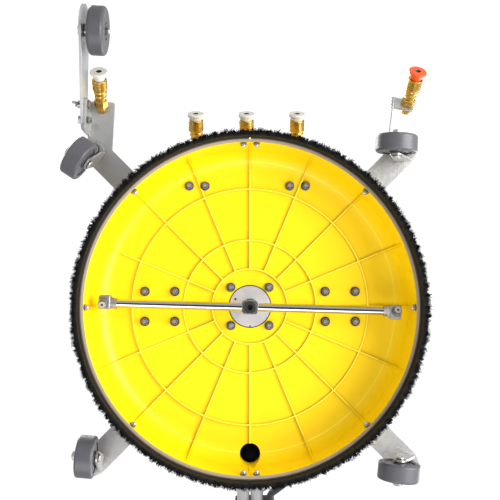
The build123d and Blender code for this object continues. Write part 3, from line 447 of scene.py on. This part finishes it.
skirt = []
for label, side in (("right", 1), ("left", -1)):
    skirt.append(skirt_core(f"skirt_core_{label}", side))
    skirt.append(strands(f"skirt_strands_{label}", side, BRISTLES))
for piece in skirt:
    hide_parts("skirt_bristles")
    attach(piece, "deck")

# ---- knurled coupler sleeves ----
FRONT_X = -5.5
NOZZLE_SPACING = 76.2
# label: base, degrees it dips, degrees it turns towards +X, then how far the coupler's foot stands off the
# base and how far its nozzle is pushed in, both in millimetres
couplers = {}
for label, step in (("left", -1), ("middle", 0), ("right", 1)):
    couplers[label] = (at(FRONT_X + step * NOZZLE_SPACING, -222, 118), 28.0, 0.0, 20.5, 3.5)
couplers["corner_left"] = (at(-226.9, -304.6, 100), 43.0, 4.1, 0.0, 0.0)
couplers["corner_right"] = (at(239.9, -306.8, 100), 45.0, 11.7, 0.0, 0.0)

# Turned outlines, as (radius, distance along the coupler): the sleeve, and a dark cup that paints
# the shade inside the nozzle's hole.
BARREL_R = 7.68
KNURL_R = 11.2
KNURL_RINGS = 34
SLEEVE = [
    (BARREL_R, 15.5), (8.6, 15.5), (9.3, 16.3), (9.4, 16.8), (9.4, 19.3), (8.9, 20.3), (8.9, 21.6),
    (9.6, 22.6), (10.2, 24.5), (10.2, 26.5), (9.7, 27.3), (9.7, 28.6), (10.9, 29.5), (11.15, 30.0),
]
SLEEVE += [(KNURL_R, 30.2 + 0.45 * i) for i in range(KNURL_RINGS)]
SLEEVE += [(10.9, 45.7), (10.4, 46.0), (10.0, 46.0), (9.9, 45.6), (9.9, 41.0), (BARREL_R, 41.0)]
BORE_SHADOW_CUP = [(4.37, 50.52), (4.37, 59.1), (4.1, 59.1), (4.1, 51.0), (0.4, 51.0), (0.4, 50.52)]


def knurl(angle, r, s):
    """Depth of the diamond knurling on the grip band of a sleeve."""
    band = 1.0 if r > KNURL_R - 0.1 else 0.0
    cross = abs(math.sin(angle * 22 + s * 2.2)) * abs(math.sin(angle * 22 - s * 2.2))
    return -0.42 * band * (1 - cross)


for label, (base, dip, yaw, offset, inset) in couplers.items():
    a = math.radians(dip)
    b = math.radians(yaw)
    along = Vector((math.cos(a) * math.sin(b), -math.cos(a) * math.cos(b), -math.sin(a)))
    foot = base + along * offset / 1000
    sleeve = lathe(f"knurled_sleeve_{label}", foot, along, SLEEVE, brass, steps=176, shape=knurl)
    bore_shadow = lathe(f"nozzle_bore_shadow_{label}", foot - along * inset / 1000, along, BORE_SHADOW_CUP, dark, steps=40)
    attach(bore_shadow, "deck")
    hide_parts(f"sleeve_{label}")
    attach(sleeve, f"sleeve_{label}")

# ---- painted shadow: a dark ring in the gap round the swivel's face in the deck's middle hole ----
gap_shadow_ring = [(30.85, 99.2), (32.25, 99.2), (32.25, 99.5), (30.85, 99.5)]
gap = lathe("swivel_gap_shadow", at(0, 0, 0), Vector((0, 0, 1)), gap_shadow_ring, dark, steps=96)
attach(gap, "deck")

# ---- ribbed hand grips on the cross bar, in millimetres and degrees ----
HANDLE_TILT = 47
PIVOT_Z = 131
CROSSBAR_D = 1030
RIB_PITCH = 4.6
slope = math.radians(HANDLE_TILT)
bar_centre = at(0, CROSSBAR_D * math.cos(slope), PIVOT_Z + CROSSBAR_D * math.sin(slope))
grip_outline = [(12.55, 168.5), (19.5, 168.5), (20.4, 169.5), (20.4, 172.0), (19.4, 173.0), (16.2, 174.5)]
s = 176.0
while s < 276:
    grip_outline += [(16.4, s), (16.4, s + 1.8), (15.5, s + 2.6), (15.5, s + 3.8)]
    s += RIB_PITCH
grip_outline += [(16.4, 281.0), (16.0, 285.0), (14.0, 287.6), (6.0, 288.0), (0.4, 288.0), (0.4, 286.1)]
grip_outline += [(12.55, 286.1)]
for label, side in (("left", -1), ("right", 1)):
    grip = lathe(f"hand_grip_{label}", bar_centre, Vector((side, 0, 0)), grip_outline, rubber, steps=72)
    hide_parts("grips")
    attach(grip, "handle")

# ---- pale floor, seen only from above, and a plain white card above for the view from below, in metres ----
floor_material, tree, shader = new_material("pale_floor")
shader.inputs["Roughness"].default_value = 0.7
coords = tree.nodes.new("ShaderNodeTexCoord").outputs["Object"]
tone = ramp(tree, noise(tree, coords, 1.2), [(0.3, 0.78), (0.7, 0.82)])
tree.links.new(tone, shader.inputs["Base Color"])
geometry = tree.nodes.new("ShaderNodeNewGeometry")
clear = tree.nodes.new("ShaderNodeBsdfTransparent")
mix = tree.nodes.new("ShaderNodeMixShader")
tree.links.new(geometry.outputs["Backfacing"], mix.inputs["Fac"])
tree.links.new(shader.outputs["BSDF"], mix.inputs[1])
tree.links.new(clear.outputs["BSDF"], mix.inputs[2])
tree.links.new(mix.outputs["Shader"], tree.nodes["Material Output"].inputs["Surface"])
FLOOR_HALF = 14.0
floor_corners = [(x * FLOOR_HALF, y * FLOOR_HALF, 0) for x, y in ((-1, -1), (1, -1), (1, 1), (-1, 1))]
floor = add_mesh("floor", floor_corners, [(0, 1, 2, 3)], floor_material, False)
floor.visible_shadow = False
floor.visible_diffuse = False
floor.visible_glossy = False

card_material, tree, shader = new_material("white_card")
glow = tree.nodes.new("ShaderNodeEmission")
glow.inputs["Strength"].default_value = 1.1
tree.links.new(glow.outputs["Emission"], tree.nodes["Material Output"].inputs["Surface"])
CARD_HALF = 3
CARD_Z = 4.5
card_corners = [(x * CARD_HALF, y * CARD_HALF, CARD_Z) for x, y in ((-1, -1), (-1, 1), (1, 1), (1, -1))]
card = add_mesh("sky_card", card_corners, [(0, 1, 2, 3)], card_material, False)
card.visible_shadow = False
card.visible_diffuse = False
card.visible_glossy = False

# Black disc below the camera, seen only in reflections, so that polished metal shows a dark room.
night_material, tree, shader = new_material("dark_room")
shader.inputs["Base Color"].default_value = (0.01, 0.01, 0.01, 1)
DISC_R = 0.8
DISC_Z = -1.7
DISC_SIDES = 48
disc_angles = [2 * math.pi * i / DISC_SIDES for i in range(DISC_SIDES)]
ring = [(DISC_R * math.cos(angle), DISC_R * math.sin(angle) + HUB_Y, DISC_Z) for angle in disc_angles]
dark_room = add_mesh("dark_room", ring, [tuple(range(DISC_SIDES))], night_material, False)
dark_room.visible_camera = False
dark_room.visible_shadow = False
dark_room.visible_diffuse = False
dark_room.visible_transmission = False

# ---- light ----
world = bpy.data.worlds.new("studio")
world.use_nodes = True
sky = world.node_tree.nodes["Background"]
sky.inputs["Color"].default_value = (0.95, 0.97, 1.0, 1)
sky.inputs["Strength"].default_value = 0.72
scene.world = world


def area_light(name, place, target, size, power):
    data = bpy.data.lights.new(name, "AREA")
    data.shape = "SQUARE"
    data.size = size
    data.energy = power
    light = bpy.data.objects.new(name, data)
    light.location = place
    light.rotation_mode = "QUATERNION"
    light.rotation_quaternion = (Vector(target) - Vector(place)).to_track_quat("-Z", "Y")
    scene.collection.objects.link(light)


area_light("under_key", at(1300, -150, -800), at(0, 0, 60), 1.3, 46.0)
area_light("under_fill", at(-150, 1150, -950), at(0, 0, 60), 1.1, 12.0)
area_light("top_key", at(-1400, -1300, 2300), at(0, 300, 300), 1.5, 80.0)
area_light("top_fill", at(1700, 900, 1900), at(0, 300, 300), 1.5, 32.0)
